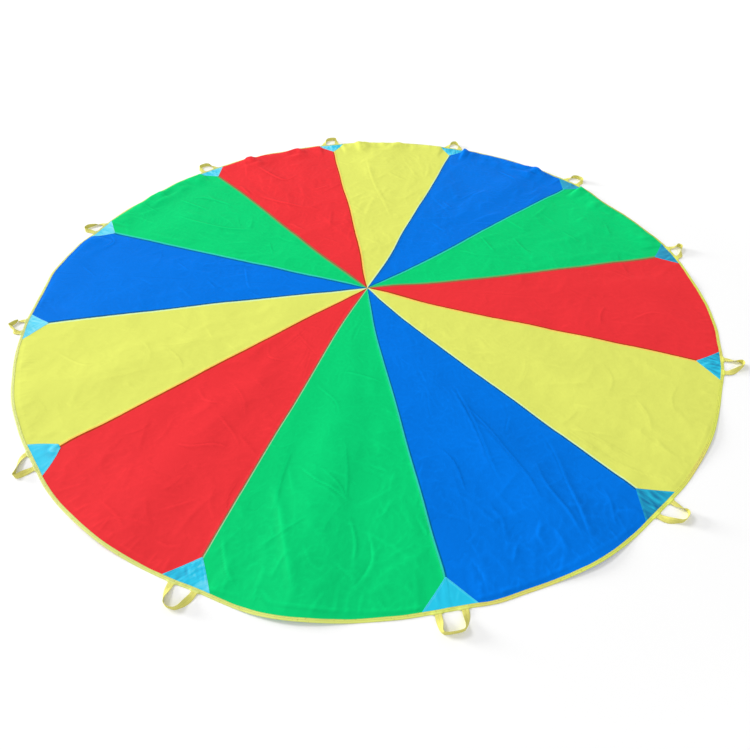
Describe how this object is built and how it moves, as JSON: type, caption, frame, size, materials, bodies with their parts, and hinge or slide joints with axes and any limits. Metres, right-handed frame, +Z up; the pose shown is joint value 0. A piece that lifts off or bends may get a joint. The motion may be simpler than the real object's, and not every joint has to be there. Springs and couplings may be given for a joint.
{
  "type": "toy parachute",
  "caption": "Round play parachute of wedge-shaped taffeta gores in four colours, with a bound rim, corner patches and webbing hand loops, lying flat.",
  "frame": {"origin": "centre of the canopy on the ground it lies on", "axes": "+Z up from the ground; X along the line the canopy folds in half on, +X through the middle of a red gore; the pictured side faces -Y"},
  "size_m": [3.6501, 3.6352, 0.0258],
  "materials": {
    "taffeta_yellow": "thin plain-woven taffeta, faint sheen",
    "taffeta_blue": "thin plain-woven taffeta, faint sheen",
    "taffeta_green": "thin plain-woven taffeta, faint sheen",
    "taffeta_red": "thin plain-woven taffeta, faint sheen",
    "patch_satin": "shiny coated satin",
    "binding_tape": "folded cloth tape, faint sheen",
    "handle_webbing": "ribbed woven webbing, matt"
  },
  "bodies": {
    "canopy_front": {"gore_04_red_front": "taffeta_red", "gore_05_yellow": "taffeta_yellow", "gore_06_blue": "taffeta_blue", "gore_07_green": "taffeta_green", "gore_08_red": "taffeta_red", "gore_09_yellow": "taffeta_yellow", "gore_10_blue_front": "taffeta_blue", "rim_binding_front": "binding_tape", "corner_patch_05": "patch_satin", "corner_patch_06": "patch_satin", "corner_patch_07": "patch_satin", "corner_patch_08": "patch_satin", "corner_patch_09": "patch_satin", "corner_patch_10": "patch_satin"},
    "canopy_back": {"gore_01_yellow": "taffeta_yellow", "gore_02_blue": "taffeta_blue", "gore_03_green": "taffeta_green", "gore_04_red_back": "taffeta_red", "gore_10_blue_back": "taffeta_blue", "gore_11_green": "taffeta_green", "gore_12_red": "taffeta_red", "rim_binding_back": "binding_tape", "corner_patch_01": "patch_satin", "corner_patch_02": "patch_satin", "corner_patch_03": "patch_satin", "corner_patch_04": "patch_satin", "corner_patch_11": "patch_satin", "corner_patch_12": "patch_satin"},
    "handle_01": {"handle_01": "handle_webbing"},
    "handle_02": {"handle_02": "handle_webbing"},
    "handle_03": {"handle_03": "handle_webbing"},
    "handle_04": {"handle_04": "handle_webbing"},
    "handle_05": {"handle_05": "handle_webbing"},
    "handle_06": {"handle_06": "handle_webbing"},
    "handle_07": {"handle_07": "handle_webbing"},
    "handle_08": {"handle_08": "handle_webbing"},
    "handle_09": {"handle_09": "handle_webbing"},
    "handle_10": {"handle_10": "handle_webbing"},
    "handle_11": {"handle_11": "handle_webbing"},
    "handle_12": {"handle_12": "handle_webbing"}
  },
  "joints": [
    {"name": "canopy_fold", "type": "hinge", "parent": "canopy_front", "child": "canopy_back", "pos_m": [0, 0, 0.0024], "axis": [1, 0, 0], "range_deg": [0, 168]},
    {"name": "handle_01_swing", "type": "hinge", "parent": "canopy_back", "child": "handle_01", "pos_m": [-0.46606, 1.73936, 0.00475], "axis": [0.9659, 0.2588, 0], "range_deg": [-90, 156]},
    {"name": "handle_02_swing", "type": "hinge", "parent": "canopy_back", "child": "handle_02", "pos_m": [0.46606, 1.73936, 0.00475], "axis": [0.9659, -0.2588, 0], "range_deg": [-90, 157]},
    {"name": "handle_03_swing", "type": "hinge", "parent": "canopy_back", "child": "handle_03", "pos_m": [1.2733, 1.2733, 0.00475], "axis": [0.7071, -0.7071, 0], "range_deg": [-90, 157]},
    {"name": "handle_04_swing", "type": "hinge", "parent": "canopy_back", "child": "handle_04", "pos_m": [1.73936, 0.46606, 0.00475], "axis": [0.2588, -0.9659, 0], "range_deg": [-90, 157]},
    {"name": "handle_05_swing", "type": "hinge", "parent": "canopy_front", "child": "handle_05", "pos_m": [1.73936, -0.46606, 0.00475], "axis": [-0.2588, -0.9659, 0], "range_deg": [-90, 162]},
    {"name": "handle_06_swing", "type": "hinge", "parent": "canopy_front", "child": "handle_06", "pos_m": [1.2733, -1.2733, 0.00475], "axis": [-0.7071, -0.7071, 0], "range_deg": [-90, 160]},
    {"name": "handle_07_swing", "type": "hinge", "parent": "canopy_front", "child": "handle_07", "pos_m": [0.46606, -1.73936, 0.00475], "axis": [-0.9659, -0.2588, 0], "range_deg": [-90, 161]},
    {"name": "handle_08_swing", "type": "hinge", "parent": "canopy_front", "child": "handle_08", "pos_m": [-0.46606, -1.73936, 0.00475], "axis": [-0.9659, 0.2588, 0], "range_deg": [-90, 160]},
    {"name": "handle_09_swing", "type": "hinge", "parent": "canopy_front", "child": "handle_09", "pos_m": [-1.2733, -1.2733, 0.00475], "axis": [-0.7071, 0.7071, 0], "range_deg": [-90, 158]},
    {"name": "handle_10_swing", "type": "hinge", "parent": "canopy_front", "child": "handle_10", "pos_m": [-1.73936, -0.46606, 0.00475], "axis": [-0.2588, 0.9659, 0], "range_deg": [-90, 153]},
    {"name": "handle_11_swing", "type": "hinge", "parent": "canopy_back", "child": "handle_11", "pos_m": [-1.73936, 0.46606, 0.00475], "axis": [0.2588, 0.9659, 0], "range_deg": [-90, 159]},
    {"name": "handle_12_swing", "type": "hinge", "parent": "canopy_back", "child": "handle_12", "pos_m": [-1.2733, 1.2733, 0.00475], "axis": [0.7071, 0.7071, 0], "range_deg": [-90, 157]}
  ]
}
